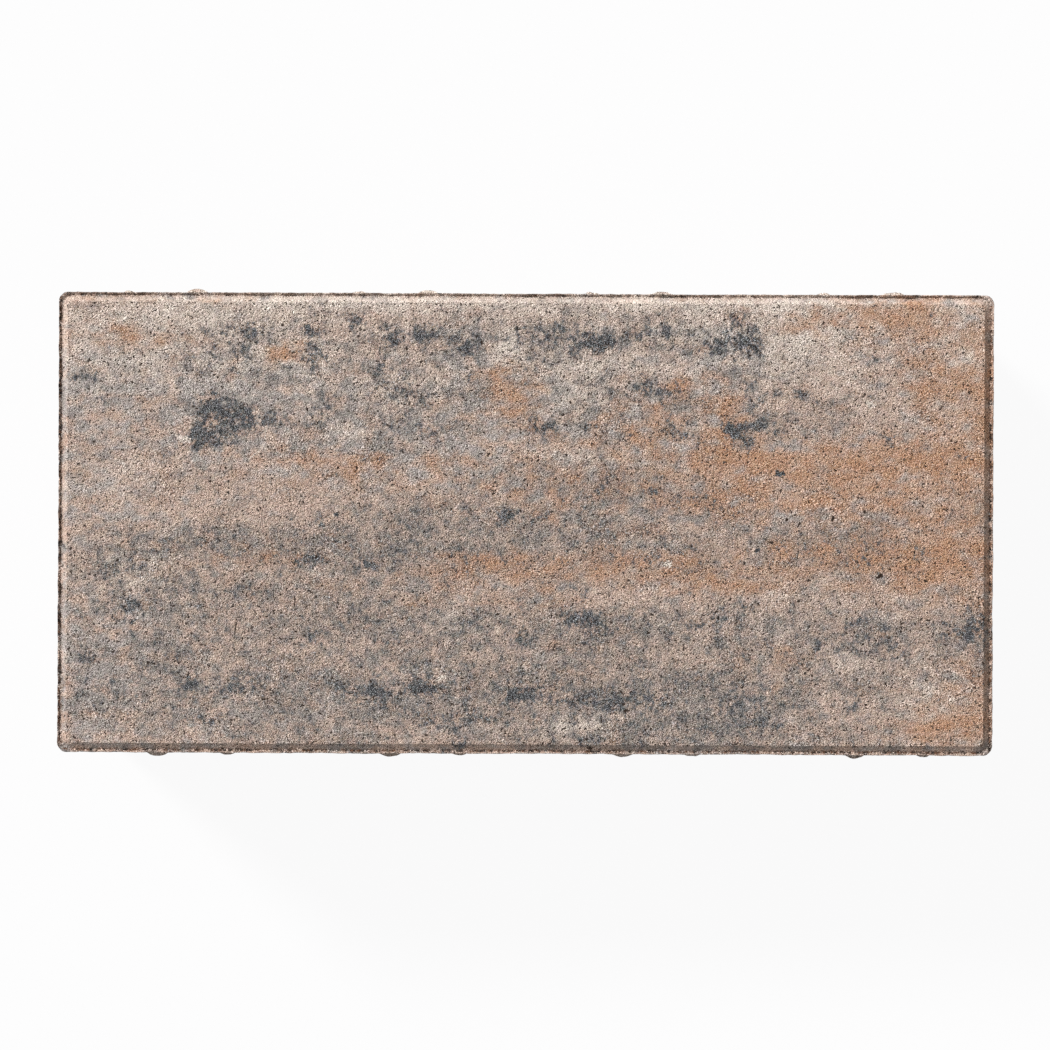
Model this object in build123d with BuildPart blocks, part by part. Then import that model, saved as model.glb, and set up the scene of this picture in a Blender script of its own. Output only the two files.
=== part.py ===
"""Pressed concrete paving stone with a chamfered face and spacer nibs on its four sides.

Millimetres, +Z up. The origin is the middle of the bed, and +X runs along the stone.
"""

import os
from math import atan2, degrees, radians, tan

from build123d import *

# Laying grid: the stone fills one place in it, less one joint
GRID_LENGTH = 200.0
GRID_WIDTH = 100.0
JOINT = 3.0
THICKNESS = 60.0

# Upper edge: the mould forms the upright sides, and the stamp presses the face between them
MOULD_CORNER_RADIUS = 2.0
STAMP_CORNER_RADIUS = 2.6
LEDGE_WIDTH = 0.6  # play of the stamp in the mould, at the chamfer's foot
CHAMFER_WIDTH = 1.4
CHAMFER_DEPTH = 1.3

# Spacer nibs: one large and one small to each cell of a side, on either hand of the cell's middle,
# so that the nibs of two stones laid side by side stand between one another
NIB_CELL = 50.0
NIB_TOP_DEPTH = 15.0  # below the face, where a nib starts to stand out of the side
NIB_END_SLOPE = 20.0  # degrees, of a nib's upper end
LARGE_NIB_RADIUS = 4.4
LARGE_NIB_PROUD = 1.9
LARGE_NIB_OFFSET = -4.0
SMALL_NIB_RADIUS = 3.5
SMALL_NIB_PROUD = 1.6
SMALL_NIB_OFFSET = 11.0

LENGTH = GRID_LENGTH - JOINT
WIDTH = GRID_WIDTH - JOINT
LEDGE_HEIGHT = THICKNESS - CHAMFER_DEPTH

# Each side: the turn that makes it face +X, its distance from the middle, and its length in the grid
SIDES = [
    (0, LENGTH / 2, GRID_WIDTH),
    (90, WIDTH / 2, GRID_LENGTH),
    (180, LENGTH / 2, GRID_WIDTH),
    (270, WIDTH / 2, GRID_LENGTH),
]


def add_nibs(radius, proud, offset):
    """Add one upright round nib to every cell of every side, from the bed to its sloping end."""
    rise = tan(radians(NIB_END_SLOPE))
    crest_height = THICKNESS - NIB_TOP_DEPTH - proud * rise
    for turn, reach, grid_run in SIDES:
        cells = round(grid_run / NIB_CELL)
        with Locations(Location((0, 0, 0), (0, 0, turn))):
            with Locations((reach + proud - radius, offset)):
                with GridLocations(NIB_CELL, NIB_CELL, 1, cells):
                    Cylinder(radius, crest_height, align=(Align.CENTER, Align.CENTER, Align.MIN))
                    with Locations((0, 0, crest_height)):
                        Cone(radius, 0, radius * rise, align=(Align.CENTER, Align.CENTER, Align.MIN))


with BuildPart() as paving_stone:
    # Block between the mould's walls, up to the ledge
    with BuildSketch():
        RectangleRounded(LENGTH, WIDTH, MOULD_CORNER_RADIUS)
    extrude(amount=LEDGE_HEIGHT)

    # Stamped face, set in by the ledge and chamfered all round
    with BuildSketch(Plane.XY.offset(LEDGE_HEIGHT)):
        RectangleRounded(LENGTH - 2 * LEDGE_WIDTH, WIDTH - 2 * LEDGE_WIDTH, STAMP_CORNER_RADIUS)
    extrude(amount=CHAMFER_DEPTH, taper=degrees(atan2(CHAMFER_WIDTH, CHAMFER_DEPTH)))

    add_nibs(LARGE_NIB_RADIUS, LARGE_NIB_PROUD, LARGE_NIB_OFFSET)
    add_nibs(SMALL_NIB_RADIUS, SMALL_NIB_PROUD, SMALL_NIB_OFFSET)

paving_stone.part.label = "paving_stone"

os.makedirs("parts", exist_ok=True)
export_step(paving_stone.part, "parts/paving_stone.step")
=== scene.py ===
"""Looks of a pressed concrete paving stone with a mottled face, lying on a pale studio floor.

The frame's node is replaced by one closed mesh with the same outline and nibs, a crumbly burr on the
ledge and a pitted surface. Lengths in this script are millimetres until they reach the mesh.
"""
import math

import bpy
import numpy as np
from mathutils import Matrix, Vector, noise


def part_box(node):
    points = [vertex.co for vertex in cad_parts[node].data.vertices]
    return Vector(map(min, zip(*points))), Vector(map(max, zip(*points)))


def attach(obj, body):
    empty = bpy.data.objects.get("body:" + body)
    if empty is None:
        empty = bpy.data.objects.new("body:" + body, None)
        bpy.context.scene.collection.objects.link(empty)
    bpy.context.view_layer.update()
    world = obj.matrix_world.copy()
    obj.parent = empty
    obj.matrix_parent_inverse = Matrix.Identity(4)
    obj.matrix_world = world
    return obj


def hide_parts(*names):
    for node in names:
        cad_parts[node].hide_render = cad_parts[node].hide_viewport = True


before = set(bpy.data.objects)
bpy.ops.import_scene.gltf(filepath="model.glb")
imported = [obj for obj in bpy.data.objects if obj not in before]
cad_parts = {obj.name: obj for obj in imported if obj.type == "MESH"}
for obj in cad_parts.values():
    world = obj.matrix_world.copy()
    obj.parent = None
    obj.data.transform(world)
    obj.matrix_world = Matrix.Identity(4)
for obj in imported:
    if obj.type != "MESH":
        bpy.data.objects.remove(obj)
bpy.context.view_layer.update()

MM = 0.001
NODE = "paving_stone"

# Sizes of the nibs and of the upper edge, as the solid has them
NIB_CELL = 50.0
NIB_TOP_DEPTH = 15.0
NIB_END_FALL = 0.7
LARGE_NIB_RADIUS = 4.4
LARGE_NIB_PROUD = 1.9
LARGE_NIB_OFFSET = -4.0
SMALL_NIB_RADIUS = 3.5
SMALL_NIB_PROUD = 1.6
SMALL_NIB_OFFSET = 11.0
NIBS = [
    (LARGE_NIB_RADIUS, LARGE_NIB_PROUD, LARGE_NIB_OFFSET),
    (SMALL_NIB_RADIUS, SMALL_NIB_PROUD, SMALL_NIB_OFFSET),
]
LEDGE_WIDTH = 0.6
CHAMFER_WIDTH = 1.4
CHAMFER_DEPTH = 1.3
MOULD_CORNER_RADIUS = 2.0
STAMP_CORNER_RADIUS = 2.6
FACE_CORNER_RADIUS = STAMP_CORNER_RADIUS - CHAMFER_WIDTH
FACE_INSET = LEDGE_WIDTH + CHAMFER_WIDTH

# Reach of the stone without its nibs, and its heights, from the frame's box
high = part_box(NODE)[1] / MM
HALF_LENGTH = high.x - LARGE_NIB_PROUD
HALF_WIDTH = high.y - LARGE_NIB_PROUD
FACE_HEIGHT = high.z
LEDGE_HEIGHT = FACE_HEIGHT - CHAMFER_DEPTH
NIB_TOP_HEIGHT = FACE_HEIGHT - NIB_TOP_DEPTH

# Fineness of the mesh
FACE_CELL = 0.65
SIDE_ROW = 1.32
BED_CELL = 2.0
BED_INSET = 2.5
HAIR = 0.002  # leeway where points are chosen by their place

# Rings of the upper edge, from the face outwards: inset from the side, and drop from the ring before
EDGE_RINGS = [
    (1.55, 0.38),
    (1.05, 0.48),
    (LEDGE_WIDTH, 0.44),
    (0.42, 0.0),
    (0.24, 0.0),
    (0.08, 0.0),
    (0.0, 0.0),
]
# Heights between which a side has even rows
SIDE_STAGES = [LEDGE_HEIGHT, NIB_TOP_HEIGHT, NIB_TOP_HEIGHT - NIB_END_FALL, 0.0]

# Noises that shape the mesh: size of the features, a seed, and the octaves where they aren't three
BURR_WAVES = (4.0, 1)
BURR_CRUMBS = (0.9, 2)
RIM_CRUMBS = (1.4, 3)
RIM_WAVES = (12.0, 4)
DRAG_MARKS = (1.6, 5, 2)
SIDE_VOIDS = (2.4, 6, 2)
RAGGED_X = (3.0, 11)
RAGGED_Y = (3.0, 12)
STAIN_AND_SHADE_WAVES = (6.0, 21)
SEED_STEP = (17.3, 5.1, 9.7)
FRACTAL_FALL = 1.0
FRACTAL_GAP = 2.0

# Burr on the ledge: its height, and the share of it at each inset from the mould's wall
BURR_HEIGHT = 0.42
BURR_LEAST = 0.06
BURR_MOST = 1.0
BURR_WAVE_SHARE = 1.0
BURR_CRUMB_SHARE = 1.2
BURR_INSETS = [0, 0.08, 0.24, 0.42]
BURR_SHARES = [0.7, 1.0, 0.9, 0.35]
RIM_CRUMB_REACH = 0.10
RIM_WAVE_REACH = 0.08

# Upright marks that the mould leaves in the sides, and the voids between them
DRAG_DEPTH = 0.3
DRAG_STRETCH = (1, 1, 0.06)
DRAG_BIAS = 0.2
VOID_DEPTH = 0.9
VOID_STEEPNESS = 3
VOID_RARITY = 1.1

# Relief that is sunk into the surface: its name, the points that take it, size, depth and octaves
RELIEF = [
    ("face_waves", "pressed_face", 9.0, 0.16, 2),
    ("face_grain", "pressed_face", 1.6, 0.13, 1),
    ("side_waves", "mould_sides", 7.0, 0.45, 3),
    ("side_grain", "mould_sides", 2.2, 0.3, 2),
]
NIB_CALM = 0.25  # share of the sides' relief that the nibs take
RELIEF_START = 6.0  # height above the bed at which the sides' relief is whole
GROUP_STEPS = 4
SMOOTH_ANGLE = 55


# Modelling the stone

def cells(length, cell):
    """Number of equal cells, each about the given size, along a length."""
    return max(1, round(length / cell))


def push_ring(inset, new_inset, drop):
    """Extrude the selected ring outwards and down, from one inset to the next."""
    bpy.ops.mesh.extrude_edges_move(TRANSFORM_OT_translate={"value": (0, 0, -drop * MM)})
    stretch_x = (HALF_LENGTH - new_inset) / (HALF_LENGTH - inset)
    stretch_y = (HALF_WIDTH - new_inset) / (HALF_WIDTH - inset)
    bpy.ops.transform.resize(value=(stretch_x, stretch_y, 1), center_override=(0, 0, 0))


def add_grid(half_x, half_y, height, cell, **place):
    """Add a flat rectangular grid of cells of about the given size."""
    bpy.ops.mesh.primitive_grid_add(
        x_subdivisions=cells(2 * half_x, cell),
        y_subdivisions=cells(2 * half_y, cell),
        size=2 * MM,
        location=(0, 0, height * MM),
        **place,
    )
    bpy.ops.transform.resize(value=(half_x, half_y, 1), center_override=(0, 0, 0))


def model_block():
    """Draw the square-cornered block: face, chamfer, ledge, sides and bed, as one closed skin."""
    bpy.ops.object.select_all(action="DESELECT")
    add_grid(HALF_LENGTH - FACE_INSET, HALF_WIDTH - FACE_INSET, FACE_HEIGHT, FACE_CELL)
    stone = bpy.context.object
    stone.name = stone.data.name = "stone"
    bpy.ops.object.transform_apply(location=True, rotation=True, scale=True)

    bpy.ops.object.mode_set(mode="EDIT")
    bpy.ops.mesh.select_all(action="SELECT")
    bpy.ops.mesh.region_to_loop()
    inset = FACE_INSET
    for new_inset, drop in EDGE_RINGS:
        push_ring(inset, new_inset, drop)
        inset = new_inset
    for top, foot in zip(SIDE_STAGES, SIDE_STAGES[1:]):
        rows = cells(top - foot, SIDE_ROW)
        bpy.ops.mesh.extrude_repeat(steps=rows, offset=(0, 0, -(top - foot) / rows * MM))

    add_grid(HALF_LENGTH - BED_INSET, HALF_WIDTH - BED_INSET, 0, BED_CELL, rotation=(math.pi, 0, 0))
    bpy.ops.mesh.select_all(action="SELECT")
    bpy.ops.mesh.region_to_loop()
    bpy.ops.mesh.bridge_edge_loops()
    bpy.ops.mesh.select_all(action="SELECT")
    bpy.ops.mesh.normals_make_consistent(inside=False)
    bpy.ops.object.mode_set(mode="OBJECT")
    return stone


def read_points(mesh):
    """The mesh's points, in millimetres."""
    points = np.empty(len(mesh.vertices) * 3)
    mesh.vertices.foreach_get("co", points)
    return points.reshape(-1, 3) / MM


def write_points(mesh, points):
    """Put the points back in the mesh, in metres."""
    mesh.vertices.foreach_set("co", (points * MM).ravel())
    mesh.update()


def insets(points):
    """How far each point lies in from the nearest side."""
    return np.minimum(HALF_LENGTH - np.abs(points[:, 0]), HALF_WIDTH - np.abs(points[:, 1]))


def round_corners(points):
    """Turn the square corners of every ring into arcs, each with the radius of its own outline."""
    inset = insets(points)
    radius = np.interp(
        inset,
        [0, LEDGE_WIDTH, FACE_INSET, FACE_INSET + FACE_CORNER_RADIUS],
        [MOULD_CORNER_RADIUS, STAMP_CORNER_RADIUS, FACE_CORNER_RADIUS, 0],
    )
    centre_x = HALF_LENGTH - inset - radius
    centre_y = HALF_WIDTH - inset - radius
    over_x = np.abs(points[:, 0]) - centre_x
    over_y = np.abs(points[:, 1]) - centre_y
    turned = (radius > 0) & (over_x > 0) & (over_y > 0)
    span = np.where(turned, 2 * radius, 1)
    share = np.where(over_x >= over_y, over_y / span, 1 - over_x / span)
    angle = share * math.pi / 2
    arc_x = np.sign(points[:, 0]) * (centre_x + radius * np.cos(angle))
    arc_y = np.sign(points[:, 1]) * (centre_y + radius * np.sin(angle))
    points[:, 0] = np.where(turned, arc_x, points[:, 0])
    points[:, 1] = np.where(turned, arc_y, points[:, 1])


def nib_profile(run, half_run, hand):
    """How far the nibs stand out at each place along a side, from its middle to its ends."""
    proud = np.zeros_like(run)
    count = cells(2 * half_run, NIB_CELL)
    for cell in range(count):
        middle = (cell - (count - 1) / 2) * NIB_CELL
        for radius, height, offset in NIBS:
            away = run - middle - hand * offset
            inside = np.maximum(radius ** 2 - away ** 2, 0)
            proud = np.maximum(proud, np.sqrt(inside) - radius + height)
    return proud


def raise_nibs(points):
    """Push the nibs out of the four sides, from the bed up, and tell which points are their ends."""
    low_enough = points[:, 2] < NIB_TOP_HEIGHT + HAIR
    on_end = points[:, 2] > NIB_TOP_HEIGHT - NIB_END_FALL - HAIR
    ends = np.zeros(len(points))
    for across, along, reach, half_run in (
        (0, 1, HALF_LENGTH, HALF_WIDTH),
        (1, 0, HALF_WIDTH, HALF_LENGTH),
    ):
        for side in (1, -1):
            on_side = low_enough & (side * points[:, across] > reach - HAIR)
            hand = side if across == 0 else -side
            proud = nib_profile(points[on_side, along], half_run, hand)
            ends[on_side] = (proud > 0) & on_end[on_side]
            pushed = points[on_side, 2] < NIB_TOP_HEIGHT - HAIR
            points[on_side, across] += side * proud * pushed
    return ends


def wobble(points, size, seed, octaves=3):
    """Smooth noise from about -1 to 1 at each point, with features of about the given size."""
    shift = Vector([seed * step for step in SEED_STEP])
    return np.array([
        noise.fractal(Vector(point) / size + shift, FRACTAL_FALL, FRACTAL_GAP, octaves)
        for point in points
    ])


def push_out(points, reach):
    """Move points of the sides outwards, each square to its own side."""
    outward = points[:, :2] / (HALF_LENGTH, HALF_WIDTH)
    across = np.abs(outward).argmax(axis=1)
    rows = np.arange(len(points))
    points[rows, across] += np.sign(outward[rows, across]) * reach


def drag_sides(points, on_side):
    """Score the sides upright, as the mould does when it is drawn off, and open voids in them."""
    side = points[on_side]
    score = DRAG_DEPTH * np.clip(wobble(side * DRAG_STRETCH, *DRAG_MARKS) + DRAG_BIAS, 0, 1)
    score += VOID_DEPTH * np.clip(VOID_STEEPNESS * wobble(side, *SIDE_VOIDS) - VOID_RARITY, 0, 1)
    push_out(side, -score)
    points[on_side] = side


def raise_burr(points, inset):
    """Stand a crumbly burr on the ledge, thin and uneven, with its crest near the mould's wall."""
    on_rim = (inset < LEDGE_WIDTH - HAIR) & (points[:, 2] > LEDGE_HEIGHT - HAIR)
    rim = points[on_rim]
    flat = rim * (1, 1, 0)
    waves = BURR_WAVE_SHARE * wobble(flat, *BURR_WAVES)
    crumbs = BURR_CRUMB_SHARE * wobble(flat, *BURR_CRUMBS)
    height = np.clip(BURR_HEIGHT * (1 + waves + crumbs), BURR_LEAST, BURR_MOST)
    rim[:, 2] += height * np.interp(inset[on_rim], BURR_INSETS, BURR_SHARES)
    crumbs = RIM_CRUMB_REACH * wobble(flat, *RIM_CRUMBS)
    waves = RIM_WAVE_REACH * wobble(flat, *RIM_WAVES)
    push_out(rim, crumbs + waves)
    points[on_rim] = rim


def displace(stone, name, group, size, depth, octaves):
    """Sink the surface by up to the given depth, by a cloud texture with features of that size."""
    texture = bpy.data.textures.new(name, "CLOUDS")
    texture.noise_scale = size * MM
    texture.noise_depth = octaves
    modifier = stone.modifiers.new(name, "DISPLACE")
    modifier.texture = texture
    modifier.texture_coords = "LOCAL"
    modifier.direction = "NORMAL"
    modifier.mid_level = 1.0
    modifier.strength = depth * MM
    modifier.vertex_group = group
    bpy.ops.object.modifier_apply(modifier=name)


def group_points(stone, name, weights):
    """Make a vertex group with a weight for each point, in a few steps of strength."""
    group = stone.vertex_groups.new(name=name)
    for step in range(1, GROUP_STEPS + 1):
        chosen = np.flatnonzero(np.round(weights * GROUP_STEPS) == step)
        group.add(chosen.tolist(), step / GROUP_STEPS, "REPLACE")


def paint(stone, name, values):
    """Keep a value for each point of the mesh, for the material to read."""
    layer = stone.data.attributes.new(name, "FLOAT", "POINT")
    layer.data.foreach_set("value", values)


def shape_stone():
    """Model the stone: the block, its round corners, its nibs, its burr and its relief."""
    stone = model_block()
    points = read_points(stone.data)
    inset = insets(points)
    round_corners(points)
    ends = raise_nibs(points)
    on_side = (inset < HAIR) & (points[:, 2] < LEDGE_HEIGHT - HAIR) & (points[:, 2] > HAIR)
    drag_sides(points, on_side)
    raise_burr(points, inset)
    write_points(stone.data, points)
    paint(stone, "nib_end", ends)

    on_face = (points[:, 2] > LEDGE_HEIGHT + HAIR) & (inset > LEDGE_WIDTH - HAIR)
    group_points(stone, "pressed_face", on_face * 1.0)
    calm = np.where(insets(points) < -HAIR, NIB_CALM, 1.0)
    group_points(stone, "mould_sides", on_side * calm * np.clip(points[:, 2] / RELIEF_START, 0, 1))
    for relief in RELIEF:
        displace(stone, *relief)

    bpy.ops.object.shade_smooth_by_angle(angle=math.radians(SMOOTH_ANGLE))
    for ring in (FACE_INSET, LEDGE_WIDTH):
        on_ring = np.abs(inset - ring) < HAIR
        for edge in stone.data.edges:
            if on_ring[edge.vertices[0]] and on_ring[edge.vertices[1]]:
                edge.use_edge_sharp = True
    return stone


# Colours and the finish

def colour(red, green, blue):
    """A shader colour from the red, green and blue of a screen, 0 to 255, by the usual screen curve."""
    linear = [((c / 255 + 0.055) / 1.055) ** 2.4 for c in (red, green, blue)]
    return (*linear, 1.0)


BEIGE = colour(212, 185, 168)
COOL = colour(193, 183, 177)
GREY = colour(153, 143, 136)
PALE = colour(234, 219, 206)
SALMON = colour(199, 154, 123)
ANTHRACITE = colour(77, 79, 82)
SLATE = colour(114, 111, 110)
DARK_GRAIN = colour(84, 75, 69)
# painted shade inside pores, voids and cavities
PORE_SHADE = colour(58, 45, 37)
# sooty colour of the rim's stain, also used for painted shade on the rim and in the groove
SOOT_AND_SHADE = colour(42, 34, 30)
RUST = colour(112, 80, 60)
WHITE = (1, 1, 1, 1)
DEEPEST = (0.12, 0.1, 0.09, 1.0)  # darkest screen tone that the grain may reach
SCREEN_GAMMA = 2.2

# Single spots on the face: how deep they go, and the two shares of their size between which they fade
SPOT_DEPTH = 12.0
SPOT_EDGE = (1.2, 0.8)


class Shader:
    """The node tree of a material or world, with short ways to add the nodes that this scene needs."""

    def __init__(self, owner):
        owner.use_nodes = True
        self.tree = owner.node_tree
        self.tree.nodes.clear()

    def node(self, kind, **settings):
        """Add a node and set its properties."""
        node = self.tree.nodes.new("ShaderNode" + kind)
        for name, value in settings.items():
            setattr(node, name, value)
        return node

    def feed(self, socket, value):
        """Link a socket to an output, or set it to a plain value."""
        if isinstance(value, bpy.types.NodeSocket):
            self.tree.links.new(value, socket)
        else:
            socket.default_value = value

    def math(self, operation, first, second=0.0):
        """One operation on two values."""
        node = self.node("Math", operation=operation)
        self.feed(node.inputs[0], first)
        self.feed(node.inputs[1], second)
        return node.outputs[0]

    def blend(self, *shares):
        """The sum of several values, each times its share."""
        result = 0.0
        for value, share in shares:
            node = self.node("Math", operation="MULTIPLY_ADD")
            self.feed(node.inputs[0], value)
            node.inputs[1].default_value = share
            self.feed(node.inputs[2], result)
            result = node.outputs[0]
        return result

    def between(self, value, start, end):
        """0 before start, 1 past end, and a smooth step between them."""
        node = self.node("MapRange", interpolation_type="SMOOTHSTEP")
        self.feed(node.inputs["Value"], value)
        node.inputs["From Min"].default_value = start
        node.inputs["From Max"].default_value = end
        return node.outputs["Result"]

    def mix(self, factor, first, second, blend="MIX"):
        """Mix two colours."""
        node = self.node("Mix", data_type="RGBA", blend_type=blend)
        self.feed(node.inputs[0], factor)
        self.feed(node.inputs[6], first)
        self.feed(node.inputs[7], second)
        return node.outputs[2]

    def stretched(self, vector, scale):
        """The coordinates scaled along each axis."""
        node = self.node("VectorMath", operation="MULTIPLY")
        self.feed(node.inputs[0], vector)
        node.inputs[1].default_value = scale
        return node.outputs[0]

    def noise(self, vector, size, detail, roughness=0.5):
        """Soft noise about 0, with features of the given size."""
        node = self.node("TexNoise")
        self.feed(node.inputs["Vector"], vector)
        node.inputs["Scale"].default_value = 1 / size
        node.inputs["Detail"].default_value = detail
        node.inputs["Roughness"].default_value = roughness
        return self.math("SUBTRACT", node.outputs["Fac"], 0.5)

    def grains(self, vector, size):
        """Closely packed grains: a random value for each, and the distance from its middle."""
        node = self.node("TexVoronoi")
        self.feed(node.inputs["Vector"], vector)
        node.inputs["Scale"].default_value = 1 / size
        values = self.node("SeparateColor")
        self.feed(values.inputs[0], node.outputs["Color"])
        return values.outputs[0], node.outputs["Distance"]

    def spots(self, vector, ragged, places):
        """1 inside any of a few ovals on the face, with ragged edges, and 0 outside them."""
        result = 0.0
        for x, y, half_length, half_height, turn in places:
            node = self.node("Mapping", vector_type="TEXTURE")
            self.feed(node.inputs["Vector"], vector)
            node.inputs["Location"].default_value = (x, y, FACE_HEIGHT)
            node.inputs["Rotation"].default_value = (0, 0, math.radians(turn))
            node.inputs["Scale"].default_value = (half_length, half_height, SPOT_DEPTH)
            away = self.node("VectorMath", operation="LENGTH")
            self.feed(away.inputs[0], node.outputs[0])
            edge = self.math("ADD", away.outputs["Value"], ragged)
            result = self.math("MAXIMUM", self.between(edge, *SPOT_EDGE), result)
        return result

    def grained(self, base, grain, green):
        """The colour with a grain added to it in screen tones, as strong in the dark as in the light."""
        added = self.node("CombineColor")
        self.feed(added.inputs[0], grain)
        self.feed(added.inputs[1], self.math("ADD", grain, green))
        self.feed(added.inputs[2], grain)
        screen = self.node("Gamma")
        self.feed(screen.inputs["Color"], base)
        screen.inputs["Gamma"].default_value = 1 / SCREEN_GAMMA
        speckled = self.mix(1.0, screen.outputs[0], added.outputs[0], "ADD")
        linear = self.node("Gamma")
        self.feed(linear.inputs["Color"], self.mix(1.0, speckled, DEEPEST, "LIGHTEN"))
        linear.inputs["Gamma"].default_value = SCREEN_GAMMA
        return linear.outputs[0]

    def painted(self, name):
        """A value painted on the mesh's points."""
        return self.node("Attribute", attribute_name=name).outputs["Fac"]

    def seen(self):
        """1 for what the camera sees, straight or by a mirror or glass, and 0 for other light."""
        rays = self.node("LightPath")
        mirrored = self.math("MAXIMUM", rays.outputs["Is Glossy Ray"], rays.outputs["Is Transmission Ray"])
        return self.math("MAXIMUM", rays.outputs["Is Camera Ray"], mirrored)


# Patches of pigment on the face, and among the pale ones a wash of painted light: middle x and y, half
# length, half height and strength
DARK_STROKES = [
    # far left quarter
    (-65.5, 24, 5.0, 2.6, 1.0), (-61, 22, 4.5, 2.0, 0.85), (-56, 21, 4.5, 2.0, 0.9),
    (-69, 18, 3.0, 2.6, 1.0), (-64, 19, 3.5, 2.0, 0.8), (-64, 40.5, 3.4, 1.7, 0.7),
    (-58, 40, 2.8, 1.7, 0.7), (-66.3, 36, 1.8, 2.0, 0.7), (-60.5, 36, 2.2, 2.6, 0.5),
    (-46, 40.5, 1.7, 2.6, 0.85), (-44.5, 36, 1.8, 4.0, 0.6), (-22, 40.6, 3.4, 1.8, 0.95),
    (-27, 39, 3.6, 2.6, 0.4), (-30.5, 33.2, 2.0, 1.8, 0.75), (-16, 39.5, 3.8, 3.2, 0.35),
    (-11.6, 36, 2.0, 3.4, 0.65), (-11.5, 31, 1.5, 1.1, 0.9), (-1, 39.5, 1.8, 3.2, 0.6),
    (-24, 26.6, 4.0, 1.8, 0.45), (-33, 27, 5.5, 1.8, 0.3), (-43.3, 24, 1.8, 3.0, 0.65),
    (-22, 20, 5.0, 2.2, 0.45), (-93, 30.8, 5.0, 1.4, 0.5), (-90, 26.2, 1.4, 2.4, 0.5),
    (-75.5, 14, 4.0, 1.2, 0.5), (-4, 1.6, 2.2, 1.3, 0.8), (-43, 1, 1.3, 1.0, 0.7),
    (-54, 22, 4.0, 1.6, 0.5),
    # far right quarter
    (13.5, 38, 4.0, 2.6, 0.75), (18, 38, 1.8, 2.0, 0.9), (23, 40.4, 2.6, 1.7, 0.8),
    (29.5, 41, 1.8, 2.6, 0.65), (5, 40, 4.2, 2.8, 0.55), (43.5, 42, 2.0, 1.7, 0.85),
    (46.7, 37.3, 2.6, 2.0, 1.0), (40, 38, 3.4, 2.0, 0.75), (48.3, 40, 1.5, 2.6, 0.6),
    (27, 28.5, 5.0, 2.4, 0.7), (20, 21, 2.4, 1.8, 0.4), (47, 27, 4.5, 2.6, 0.5),
    (57, 27.6, 4.5, 1.8, 0.55), (3, 20, 3.4, 2.2, 0.75), (13.5, 20, 1.8, 1.0, 0.7),
    (34, 18, 3.4, 1.8, 0.75), (44.5, 19, 2.5, 2.4, 0.85), (53.5, 17, 2.8, 1.3, 0.55),
    (75.5, 17.5, 1.8, 2.0, 0.6), (53.5, 10.8, 1.4, 1.0, 0.9), (71, 35, 2.6, 2.2, 0.5),
    (83, 37, 4.0, 1.3, 0.55), (86, 44.5, 2.2, 1.1, 0.5), (27, 7.5, 3.0, 1.6, 0.5),
    # near left quarter
    (-83, -16.5, 1.9, 1.6, 0.85), (-88, -10.5, 4.0, 1.8, 0.4), (-83, -22, 2.0, 2.4, 0.65),
    (-93, -28.5, 2.2, 1.6, 0.65), (-71, -34, 2.6, 2.2, 0.75), (-61, -34.5, 5.5, 2.4, 0.55),
    (-67, -41, 1.8, 1.1, 0.6), (-36.5, -35.6, 4.0, 1.9, 0.5), (-31, -35, 3.0, 2.4, 0.65),
    (-21.5, -35.5, 2.0, 1.6, 1.0), (-33.5, -8.5, 1.1, 1.6, 0.8), (-46, -8, 3.5, 1.4, 0.5),
    (-45, -24.5, 2.4, 1.8, 0.45), (-1, -24, 2.4, 3.0, 0.5), (-10, -41, 3.8, 1.3, 0.5),
    (-13, -46, 2.4, 1.2, 0.6),
    # near right quarter
    (10.5, -19.5, 2.4, 2.0, 0.9), (13.6, -20, 3.0, 2.6, 0.95), (12, -14, 4.0, 1.6, 0.5),
    (46, -17.3, 1.9, 1.1, 0.9), (36.4, -21.6, 1.3, 1.0, 0.85), (61.5, -25, 1.4, 1.2, 0.9),
    (66, -26, 3.0, 1.4, 0.25), (70, -20.4, 1.8, 1.2, 0.75), (79, -27.5, 1.3, 1.0, 0.85),
    (94.5, -22, 2.6, 2.0, 0.85), (89.5, -21.5, 1.2, 1.2, 0.75), (0, -36, 5.0, 1.6, 0.8),
    (10.5, -36.6, 4.2, 1.7, 0.6), (19, -37.6, 3.8, 2.0, 0.75), (26, -37, 3.4, 2.2, 0.6),
    (45, -38, 5.0, 3.4, 0.5), (69, -37.5, 3.4, 1.8, 0.5), (13, -46, 2.4, 1.2, 0.7),
    (27, -6.3, 3.5, 1.3, 0.5), (74.5, -10.5, 1.2, 1.0, 0.5),
    # broader or weaker ones, between and over the others
    (-36, 42, 4.0, 2.0, 0.5), (44, 38.5, 5.0, 4.0, 0.45), (-45, 37, 2.5, 5.0, 0.3),
    (-28, 20.5, 5.0, 2.5, 0.4), (50, 20.5, 8.0, 2.5, 0.4), (30, 20.5, 5.0, 2.5, 0.45),
    (-28, 40, 4.0, 3.0, 0.5), (-74, 36, 5.0, 2.0, 0.4), (-44, 35, 2.5, 3.0, 0.5),
    (13, 39, 6.0, 2.5, 0.4), (-28, 30, 3.5, 2.5, 0.4), (3, 20, 4.0, 2.0, 0.3),
    (-67, 17, 4.5, 3.5, 0.55), (-60, 21, 5.0, 2.5, 0.45), (-52, 7, 6.0, 2.0, 0.35),
    (36, -21, 5.0, 1.6, 0.5), (-68, -42, 5.0, 2.0, 0.5), (76, 28, 4.0, 2.0, 0.3),
    (52, -42, 5.0, 2.0, 0.35), (-24, -34, 7.0, 3.0, 0.35), (-19, -42, 6.0, 2.0, 0.45),
    (72, -26, 10.0, 1.6, 0.3), (42, -20, 5.0, 1.4, 0.3), (-92, 30, 6.0, 1.8, 0.4),
    (-86, -18, 6.0, 3.0, 0.35), (-88, -34, 8.0, 3.0, 0.35),
]
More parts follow.
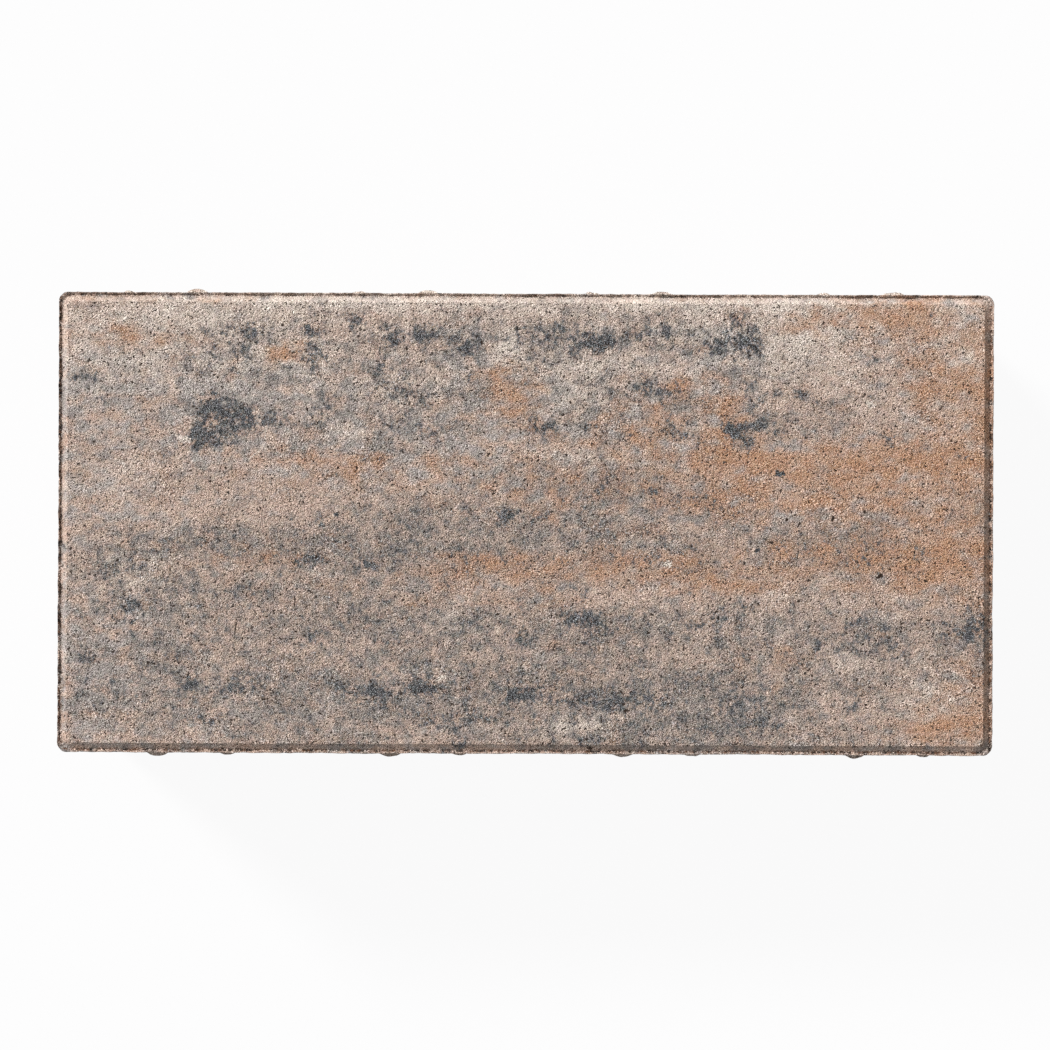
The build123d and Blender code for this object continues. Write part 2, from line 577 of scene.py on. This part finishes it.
HAZE_STROKES = [
    (-25, 32, 40.0, 12.0, 0.3), (25, 27, 34.0, 9.0, 0.28), (20, 40, 36.0, 5.0, 0.35),
    (-62, 38, 12.0, 7.0, 0.22), (-60, 22, 13.0, 6.0, 0.3), (-35, -37, 70.0, 10.0, 0.5),
    (30, -40, 40.0, 10.0, 0.55), (8, -23, 50.0, 7.0, 0.45), (70, -24, 28.0, 6.0, 0.45),
    (-80, -20, 20.0, 12.0, 0.22), (-35, -7, 20.0, 3.5, 0.5), (-25, 2, 25.0, 4.0, 0.35),
    (22, 4, 20.0, 4.0, 0.45), (68, -4, 16.0, 5.0, 0.45), (-40, -20, 30.0, 9.0, 0.35),
    (-70, -5, 25.0, 4.0, 0.25), (10, -5, 40.0, 3.0, 0.35), (95, -24, 6.0, 8.0, 0.6),
    (-8, -2, 28.0, 5.0, 0.4), (-60, -5, 40.0, 4.5, 0.35), (42, -41, 14.0, 5.0, 0.35),
    (48, 21, 8.0, 3.0, 0.35), (12, 10, 20.0, 5.0, 0.4), (36, 7, 14.0, 4.0, 0.25),
    (-28, 16, 8.0, 6.0, 0.35), (10, 0, 16.0, 4.0, 0.35), (44, 1, 8.0, 4.0, 0.35),
    (66, -7, 14.0, 4.0, 0.4), (-84, -14, 10.0, 4.0, 0.2), (-68, -14, 8.0, 4.0, 0.35),
    (-76, -28, 6.0, 4.0, 0.4), (62, -32, 8.0, 4.0, 0.3), (92, 3, 6.0, 6.0, 0.35),
    (0, -11, 100.0, 6.0, 0.16), (36, -7, 10.0, 4.0, 0.3), (72, -4, 8.0, 6.0, 0.3),
    (50, 21, 34.0, 3.5, 0.2),
]
SALMON_STROKES = [
    (78, 13, 26.0, 5.0, 0.75), (88, 14, 14.0, 10.0, 0.2), (46, 14, 13.0, 4.0, 0.75),
    (42, 22, 4.0, 7.0, 0.8), (25, 20, 9.0, 7.0, 0.55), (96, 30, 7.0, 16.0, 0.55),
    (80, 45, 9.0, 6.0, 0.75), (86, -8, 12.0, 7.0, 0.75), (65, -7, 18.0, 5.0, 0.65),
    (24, -8.5, 26.0, 4.0, 0.5), (-8, -8.5, 14.0, 3.0, 0.5), (-3, 26, 5.5, 5.0, 0.75),
    (-5, 32, 5.0, 2.0, 0.6), (-50.5, 36.5, 4.0, 2.4, 0.9), (-82, 39.5, 13.0, 2.4, 0.55),
    (-66, 46.5, 4.0, 1.5, 0.6), (74, 46, 3.0, 1.5, 0.5), (-36, 12, 22.0, 4.0, 0.4),
    (10, 6, 28.0, 7.0, 0.33), (40, -13, 13.0, 2.5, 0.55), (55, -28, 8.0, 2.0, 0.4),
    (88, -42.5, 10.0, 3.0, 0.85), (33, 29, 4.0, 1.8, 0.85), (64, 5, 22.0, 5.0, 0.5),
    (92, 0, 10.0, 6.0, 0.35), (40, 5, 12.0, 5.0, 0.4), (2, 16, 12.0, 9.0, 0.2),
    (-86, -24, 3.0, 2.5, 0.25), (-60, -8, 24.0, 4.0, 0.33), (-5, -14, 26.0, 4.0, 0.25),
    (95, -30, 5.0, 14.0, 0.33), (12, -32, 8.0, 14.0, 0.16), (80, 5, 34.0, 22.0, 0.1),
    (98, -2, 4.0, 40.0, 0.2), (86, 31, 7.0, 7.0, 0.65), (62, 43, 12.0, 3.0, 0.55),
    (88, -38, 8.0, 6.0, 0.3),
]
PALE_STROKES = [
    (-86, 10, 18.0, 9.0, 0.25), (-84, 34, 16.0, 6.0, 0.45), (-45, 46.5, 46.0, 2.4, 0.6),
    (40, 46.5, 50.0, 2.2, 0.6), (-3, 37, 2.4, 4.5, 0.95), (12, 33, 16.0, 2.0, 0.4),
    (60, 40, 10.0, 5.0, 0.4), (70, 28, 8.0, 6.0, 0.25), (80, -34, 12.0, 4.0, 0.3),
    (60, -15, 14.0, 2.5, 0.3), (-40, 20, 10.0, 3.0, 0.35), (10, 14, 20.0, 3.0, 0.3),
    (-74, 42.5, 26.0, 3.5, 0.5), (68, 42, 8.0, 3.0, 0.4), (11, -42.5, 7.0, 2.5, 0.6),
    (28, -20, 4.0, 4.0, 0.35), (88, -42, 8.0, 3.0, 0.35), (93, 16, 5.0, 7.0, 0.5),
    (-80, -10, 9.0, 5.0, 0.5), (-14, -21, 6.0, 3.0, 0.4), (76, -20, 4.0, 2.5, 0.4),
    # the wide wash at x 0 and y 38 is painted light: it makes the far half, towards the key, lighter
    (52, -21, 5.0, 2.5, 0.4), (-26, 28, 14.0, 3.0, 0.3), (0, 38, 110.0, 14.0, 0.22),
    (-56, 34, 10.0, 3.0, 0.35), (12, 26, 8.0, 6.0, 0.35), (36, 42, 6.0, 3.0, 0.4),
    (54, 36, 8.0, 6.0, 0.5), (90, 32, 8.0, 8.0, 0.45), (-52, 36, 10.0, 5.0, 0.3),
    (68, -28, 5.0, 3.0, 0.4), (85, -39, 8.0, 5.0, 0.3), (93, 40, 6.0, 7.0, 0.25),
]
MIST_STROKES = [
    (-92, 27, 14.0, 10.0, 0.7), (-60, 28, 25.0, 8.0, 0.9), (-92, -32, 14.0, 18.0, 0.8),
    (-50, -38, 30.0, 8.0, 0.5), (4, 26, 14.0, 6.0, 0.8), (30, 24, 12.0, 8.0, 0.7),
    (42, 36, 9.0, 6.0, 1.0), (-12, 36, 10.0, 6.0, 0.7), (16, 40, 12.0, 4.0, 0.6),
    (44, -41, 14.0, 6.0, 0.6), (-20, 17, 30.0, 8.0, 0.7), (10, 7, 16.0, 5.0, 0.5),
    (62, 1, 14.0, 4.0, 0.7), (-80, -3, 14.0, 5.0, 0.4), (-92, 7, 10.0, 9.0, 0.45),
    (-64, 14, 9.0, 4.0, 0.45), (-78, -24, 12.0, 7.0, 0.45),
]

# Single things on the face: middle x and y, half length, half height and turn in degrees
PALE_PEBBLES = [
    (-72.0, 17.6, 1.5, 0.8, -15), (72.6, 25.4, 1.0, 0.8, 0), (29.9, -8.3, 0.8, 0.7, 0),
    (-17.6, -32.5, 0.9, 0.5, 20), (-54.85, 18.5, 1.7, 0.11, 88), (-55.7, 15.9, 1.6, 0.12, 60),
    (-57.8, 13.8, 1.9, 0.12, 40),
]
DARK_PEBBLES = [
    (53.5, 10.7, 0.95, 0.65, 10), (48.8, -5.4, 0.65, 0.55, 0), (-39.8, 1.8, 0.5, 0.4, 0),
    (-33.6, -8.6, 0.5, 1.0, 10), (-3.4, 1.5, 0.9, 0.6, 0),
]
CAVITIES = [
    (74.7, -10.6, 0.9, 0.35, 40), (64.6, 1.3, 0.3, 0.65, -15), (57.5, 0.0, 0.6, 0.25, 60),
    (71.3, 2.8, 0.25, 0.5, 10), (51.9, -3.8, 0.5, 0.3, -40), (13.8, -47.2, 0.6, 0.4, 0),
    (29.4, -46.2, 0.4, 0.25, 0), (21.3, -39.3, 0.7, 0.4, 10), (-60.7, 34.8, 0.12, 2.4, 0),
    (-60.9, -21.8, 0.13, 2.6, -8), (-48.6, -16.8, 0.12, 1.3, 0), (20.2, -35.2, 0.9, 0.15, -50),
]

PIGMENTS_AND_LIGHT = [
    ("anthracite", DARK_STROKES),
    ("haze", HAZE_STROKES),
    ("salmon", SALMON_STROKES),
    ("pale", PALE_STROKES),
    ("mist", MIST_STROKES),
]
PIGMENT_AND_LIGHT_DEPTH = 9.0  # below the face, where the pigment and the painted light end
RAGGED_REACH_X = 2.0
RAGGED_REACH_Y = 1.5

# Dark stain of the burr on each side, partly painted shade where the burr shades the ledge, most on the
# left; and painted shade in the groove beside it
FAR_STAIN_AND_SHADE = 0.4
FAR_GROOVE_SHADE = 0.3
LEFT_STAIN_AND_SHADE = 0.95
LEFT_GROOVE_SHADE = 0.6
NEAR_STAIN_AND_SHADE = 0.14
NEAR_GROOVE_SHADE = 1.0
RIGHT_STAIN_AND_SHADE = 0.35
RIGHT_GROOVE_SHADE = 1.0
STAIN_AND_SHADE_DROP = 1.0
STAIN_AND_SHADE_WAVE_SHARE = 1.2
STAIN_AND_SHADE_MOST = 1.6
GROOVE_SHADE_DROP = 0.2
GROOVE_SHADE_REACH = 0.25
EDGE_LEEWAY = 0.02
CHAMFER_MIDDLE = LEDGE_WIDTH + CHAMFER_WIDTH / 2
DRAWN_START = 3.0  # below the ledge, where the look of the drawn sides is whole


def paint_pigments_and_light(stone):
    """Paint the patches of each pigment, and the wash of painted light, on the points, with ragged edges,
    fading down the sides.
    """
    points = read_points(stone.data)
    x = points[:, 0] + RAGGED_REACH_X * wobble(points, *RAGGED_X)
    y = points[:, 1] + RAGGED_REACH_Y * wobble(points, *RAGGED_Y)
    fade = np.clip((points[:, 2] - FACE_HEIGHT + PIGMENT_AND_LIGHT_DEPTH) / PIGMENT_AND_LIGHT_DEPTH, 0, 1)
    for name, strokes in PIGMENTS_AND_LIGHT:
        bare = np.ones(len(points))
        for middle_x, middle_y, half_length, half_height, strength in strokes:
            away = ((x - middle_x) / half_length) ** 2 + ((y - middle_y) / half_height) ** 2
            bare *= 1 - strength * np.exp(-away)
        paint(stone, name, (1 - bare) * fade)


def paint_edges(stone):
    """Paint the rim's staining with its painted shade, the painted shade in the groove, the smooth chamfer
    above them and the drawn sides.
    """
    points = read_points(stone.data)
    x, y, z = points.T
    inset = insets(points)
    along_end = HALF_LENGTH - np.abs(x) < HALF_WIDTH - np.abs(y)
    sides = [along_end & (x < 0), along_end & (x > 0), ~along_end & (y > 0)]
    # each side's share of stain and painted shade on the rim, and of painted shade in the groove
    share = np.select(sides, [LEFT_STAIN_AND_SHADE, RIGHT_STAIN_AND_SHADE, FAR_STAIN_AND_SHADE], NEAR_STAIN_AND_SHADE)
    groove_shade = np.select(sides, [LEFT_GROOVE_SHADE, RIGHT_GROOVE_SHADE, FAR_GROOVE_SHADE], NEAR_GROOVE_SHADE)
    on_rim = (z > LEDGE_HEIGHT - STAIN_AND_SHADE_DROP) & (inset < LEDGE_WIDTH - EDGE_LEEWAY)
    groove = (z > LEDGE_HEIGHT - GROOVE_SHADE_DROP) & (np.abs(inset - LEDGE_WIDTH) < GROOVE_SHADE_REACH)
    uneven = np.clip(1 + STAIN_AND_SHADE_WAVE_SHARE * wobble(points * (1, 1, 0), *STAIN_AND_SHADE_WAVES), 0, STAIN_AND_SHADE_MOST)
    on_chamfer = np.abs(inset - CHAMFER_MIDDLE) < CHAMFER_WIDTH / 2 + EDGE_LEEWAY
    paint(stone, "stain_and_shade", np.clip(on_rim * share * uneven + groove * groove_shade, 0, 1))
    paint(stone, "pressed", on_chamfer * (z > LEDGE_HEIGHT) * 1.0)
    paint(stone, "drawn", np.clip((LEDGE_HEIGHT - z) / DRAWN_START, 0, 1))


# Noises in the concrete: size of the features, detail, and roughness where it isn't a half
CLOUDS = (6.0, 3.0, 0.55)
PATCHES = (2.2, 3.0)
BLUSH = (3.0, 2.0)
DABS = (0.8, 2.5, 0.6)
LUMPS = (0.75, 1.0, 0.4)
PITS = (0.3, 0.0)
FLOUR = (0.17, 0.0)
DRAG = (1.2, 2.0)
TINT = (0.9, 2.0, 0.6)
VOIDS = (1.5, 2.0, 0.6)
CRUMBS = (0.9, 2.0, 0.6)
SAND_SIZE = 0.45
SAND_MIDDLE = 0.62

# Stretch of the noises along x, y and z: a small share draws them out, and a minus sets two apart
TO_MM = (1 / MM, 1 / MM, 1 / MM)
CLOUD_STRETCH = (0.6, 1.0, 1.0)
DAB_STRETCH = (1.0, 0.75, 1.0)
BLUSH_STRETCH = (0.7, 1.0, -1.0)
UPRIGHT_STRETCH = (1.0, 1.0, 0.06)
TINT_STRETCH = (1.0, 1.0, -0.7)

# Values between which each tone of the concrete comes in
COOL_RANGE = (-0.02, 0.4)
GREY_RANGE = (-0.2, 0.75)
PALE_RANGE = (0.05, 0.9)
SALMON_RANGE = (0.02, 0.95)
SLATE_RANGE = (0.14, 0.4)
ANTHRACITE_RANGE = (0.24, 0.7)
DARK_GRAIN_RANGE = (0.205, 0.235)
SMALL_PORE_RANGE = (-0.25, -0.275)
LARGE_PORE_RANGE = (-0.215, -0.24)
VOID_RANGE = (-0.17, -0.24)
CRUMB_RANGE = (-0.12, 0.08)
RUST_RANGE = (-0.04, 0.1)

BUMP_DEPTH = 0.36
ROUGHNESS = 0.92
SPECULAR_LEVEL = 0.25


def make_concrete():
    """Mottled concrete: beige and grey paste, salmon and anthracite pigment, sand grains and pores."""
    material = bpy.data.materials.new("melange_concrete")
    shader = Shader(material)
    place = shader.stretched(shader.node("TexCoord").outputs["Object"], TO_MM)
    clouds = shader.noise(shader.stretched(place, CLOUD_STRETCH), *CLOUDS)
    patches = shader.noise(place, *PATCHES)
    blush = shader.noise(shader.stretched(place, BLUSH_STRETCH), *BLUSH)
    dabs = shader.noise(shader.stretched(place, DAB_STRETCH), *DABS)
    lumps = shader.noise(place, *LUMPS)
    pits = shader.noise(place, *PITS)
    flour = shader.noise(place, *FLOUR)
    sand, sand_away = shader.grains(place, SAND_SIZE)
    haze = shader.painted("haze")
    anthracite = shader.painted("anthracite")
    pressed = shader.painted("pressed")
    nib_end = shader.painted("nib_end")
    drawn = shader.math("SUBTRACT", shader.painted("drawn"), nib_end)

    # Paste, pigments and the pale wash of painted light, each laid over the ones before
    cool = shader.blend((shader.painted("mist"), 0.35), (pressed, 0.08), (blush, -1.2), (patches, 0.5))
    paste = shader.mix(shader.between(cool, *COOL_RANGE), BEIGE, COOL)
    greyness = shader.blend((haze, 0.8), (clouds, 1.0), (patches, 1.5), (drawn, 0.35))
    paste = shader.mix(shader.between(greyness, *GREY_RANGE), paste, GREY)
    # pale patches, pale nib ends, and the wash of painted light over the far half
    pale = shader.blend((shader.painted("pale"), 1.0), (nib_end, 1.0), (patches, -1.2), (clouds, -0.4))
    paste = shader.mix(shader.between(pale, *PALE_RANGE), paste, PALE)
    salmon = shader.blend((shader.painted("salmon"), 1.0), (blush, 1.4), (clouds, 0.5), (dabs, 0.3))
    paste = shader.mix(shader.between(salmon, *SALMON_RANGE), paste, SALMON)
    ticks = shader.blend((dabs, 0.9), (haze, 0.28), (clouds, 0.3), (patches, 0.4), (anthracite, 0.25))
    ticked = shader.between(ticks, *SLATE_RANGE)
    paste = shader.mix(ticked, paste, SLATE)
    dark = shader.blend(
        (anthracite, 0.62),
        (haze, 0.26),
        (clouds, 0.4),
        (patches, 0.8),
        (dabs, 1.3),
        (flour, 1.0),
    )
    darkened = shader.between(dark, *ANTHRACITE_RANGE)
    paste = shader.mix(darkened, paste, ANTHRACITE)
    ragged = shader.blend((lumps, 1.4), (pits, 1.2))
    paste = shader.mix(shader.spots(place, ragged, PALE_PEBBLES), paste, PALE)
    paste = shader.mix(shader.spots(place, ragged, DARK_PEBBLES), paste, ANTHRACITE)

    # Grain of the sand, calmer on the chamfer and harsher in the dark, and drag marks on the sides
    calm = shader.math("SUBTRACT", 1.0, shader.blend((pressed, 0.35), (clouds, -0.5)))
    harsh = shader.math("ADD", calm, shader.blend((darkened, 0.5), (ticked, 0.3)))
    grain = shader.blend((flour, 1.2), (shader.math("SUBTRACT", sand, SAND_MIDDLE), 0.06))
    grain = shader.math("MULTIPLY", grain, harsh)
    drag = shader.noise(shader.stretched(place, UPRIGHT_STRETCH), *DRAG)
    grain = shader.blend((grain, 1.0), (shader.math("MULTIPLY", drag, drawn), 0.16))
    tint = shader.noise(shader.stretched(place, TINT_STRETCH), *TINT)
    paste = shader.grained(paste, grain, shader.blend((tint, 0.05)))
    paste = shader.mix(shader.between(lumps, *DARK_GRAIN_RANGE), paste, DARK_GRAIN)

    # Pores on the face, voids in the sides and single cavities, darkened with painted shade of these small
    # hollows
    small_pores = shader.between(shader.blend((pits, 1.0), (patches, 0.35)), *SMALL_PORE_RANGE)
    large_pores = shader.between(shader.blend((lumps, 1.0), (pits, 0.4)), *LARGE_PORE_RANGE)
    pores = shader.math("MULTIPLY", shader.math("MAXIMUM", small_pores, large_pores), calm)
    voids = shader.blend((shader.noise(place, *VOIDS), 1.0), (patches, 0.3))
    voids = shader.math("MULTIPLY", shader.between(voids, *VOID_RANGE), drawn)
    pore = shader.math("MAXIMUM", pores, voids)
    hollow = shader.math("MAXIMUM", pore, shader.spots(place, ragged, CAVITIES))
    paste = shader.mix(hollow, paste, PORE_SHADE)

    # Stain of the rim, sooty with rusty grains, and painted shade of the burr and in the groove, in the
    # same colours
    crumbs = shader.blend((shader.noise(place, *CRUMBS), 1.0), (pits, 0.5))
    stain_and_shade = shader.math("MULTIPLY", shader.painted("stain_and_shade"), shader.between(crumbs, *CRUMB_RANGE))
    paste = shader.mix(stain_and_shade, paste, shader.mix(shader.between(lumps, *RUST_RANGE), SOOT_AND_SHADE, RUST))

    height = shader.blend((sand_away, -0.5), (flour, 0.8), (pits, 0.4), (lumps, 0.8), (pore, -1.0))
    bump = shader.node("Bump")
    bump.inputs["Distance"].default_value = BUMP_DEPTH * MM
    shader.feed(bump.inputs["Height"], shader.math("MULTIPLY", height, calm))
    surface = shader.node("BsdfPrincipled")
    surface.inputs["Roughness"].default_value = ROUGHNESS
    surface.inputs["Specular IOR Level"].default_value = SPECULAR_LEVEL
    shader.feed(surface.inputs["Base Color"], paste)
    shader.feed(surface.inputs["Normal"], bump.outputs["Normal"])
    shader.feed(shader.node("OutputMaterial").inputs["Surface"], surface.outputs["BSDF"])
    return material


# Stage

CAMERA_HEIGHT = 738.7
CAMERA_SIDESTEP = (-0.13, -0.26)
CAMERA_TURN = 0.24
CAMERA_LENS = 110.6
CAMERA_SENSOR = 36
KEY_AZIMUTH = 138.5
KEY_ELEVATION = 35.0
KEY_SPREAD = 12
KEY_SHARE = 0.75
FILL_SHARE = 0.25
FLOOR_SIZE = 6.0  # metres
FLOOR_WHITE = (0.7, 0.7, 0.7, 1)
FLOOR_GLOW = 0.94


def set_camera():
    """Look straight down on the face."""
    camera = bpy.data.objects.new("camera", bpy.data.cameras.new("camera"))
    bpy.context.scene.collection.objects.link(camera)
    camera.data.lens = CAMERA_LENS
    camera.data.sensor_width = CAMERA_SENSOR
    camera.location = (CAMERA_SIDESTEP[0] * MM, CAMERA_SIDESTEP[1] * MM, CAMERA_HEIGHT * MM)
    camera.rotation_euler = (0, 0, math.radians(CAMERA_TURN))
    bpy.context.scene.camera = camera


def set_lights():
    """One soft key from the far left, and an even fill from all round."""
    scene = bpy.context.scene
    elevation = math.radians(KEY_ELEVATION)
    azimuth = math.radians(KEY_AZIMUTH)
    key = bpy.data.objects.new("key", bpy.data.lights.new("key", "SUN"))
    scene.collection.objects.link(key)
    key.data.energy = KEY_SHARE * math.pi / math.sin(elevation)
    key.data.angle = math.radians(KEY_SPREAD)
    towards = Vector((
        math.cos(azimuth) * math.cos(elevation),
        math.sin(azimuth) * math.cos(elevation),
        math.sin(elevation),
    ))
    key.rotation_euler = towards.to_track_quat("Z", "Y").to_euler()

    scene.world = bpy.data.worlds.new("studio")
    shader = Shader(scene.world)
    strength = shader.node("MapRange")
    strength.inputs["To Min"].default_value = FILL_SHARE
    strength.inputs["To Max"].default_value = 1.0
    shader.feed(strength.inputs["Value"], shader.seen())
    background = shader.node("Background")
    background.inputs["Color"].default_value = WHITE
    shader.feed(background.inputs["Strength"], strength.outputs["Result"])
    shader.feed(shader.node("OutputWorld").inputs["Surface"], background.outputs["Background"])


def lay_floor():
    """A pale floor that the camera sees as near white, with the stone's shadow faint on it."""
    bpy.ops.object.select_all(action="DESELECT")
    bpy.ops.mesh.primitive_plane_add(size=FLOOR_SIZE)
    floor = bpy.context.object
    floor.name = "floor"
    material = bpy.data.materials.new("studio_floor")
    shader = Shader(material)
    matte = shader.node("BsdfDiffuse")
    matte.inputs["Color"].default_value = FLOOR_WHITE
    glow = shader.node("Emission")
    both = shader.node("MixShader")
    shader.feed(both.inputs[0], shader.math("MULTIPLY", shader.seen(), FLOOR_GLOW))
    shader.feed(both.inputs[1], matte.outputs[0])
    shader.feed(both.inputs[2], glow.outputs[0])
    shader.feed(shader.node("OutputMaterial").inputs["Surface"], both.outputs[0])
    floor.data.materials.append(material)


stone = shape_stone()
paint_pigments_and_light(stone)
paint_edges(stone)
stone.data.materials.append(make_concrete())
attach(stone, "root")
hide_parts(NODE)

set_camera()
set_lights()
lay_floor()
bpy.context.scene.view_settings.view_transform = "Standard"
bpy.context.scene.cycles.use_denoising = False  # it would wipe out the finest grain
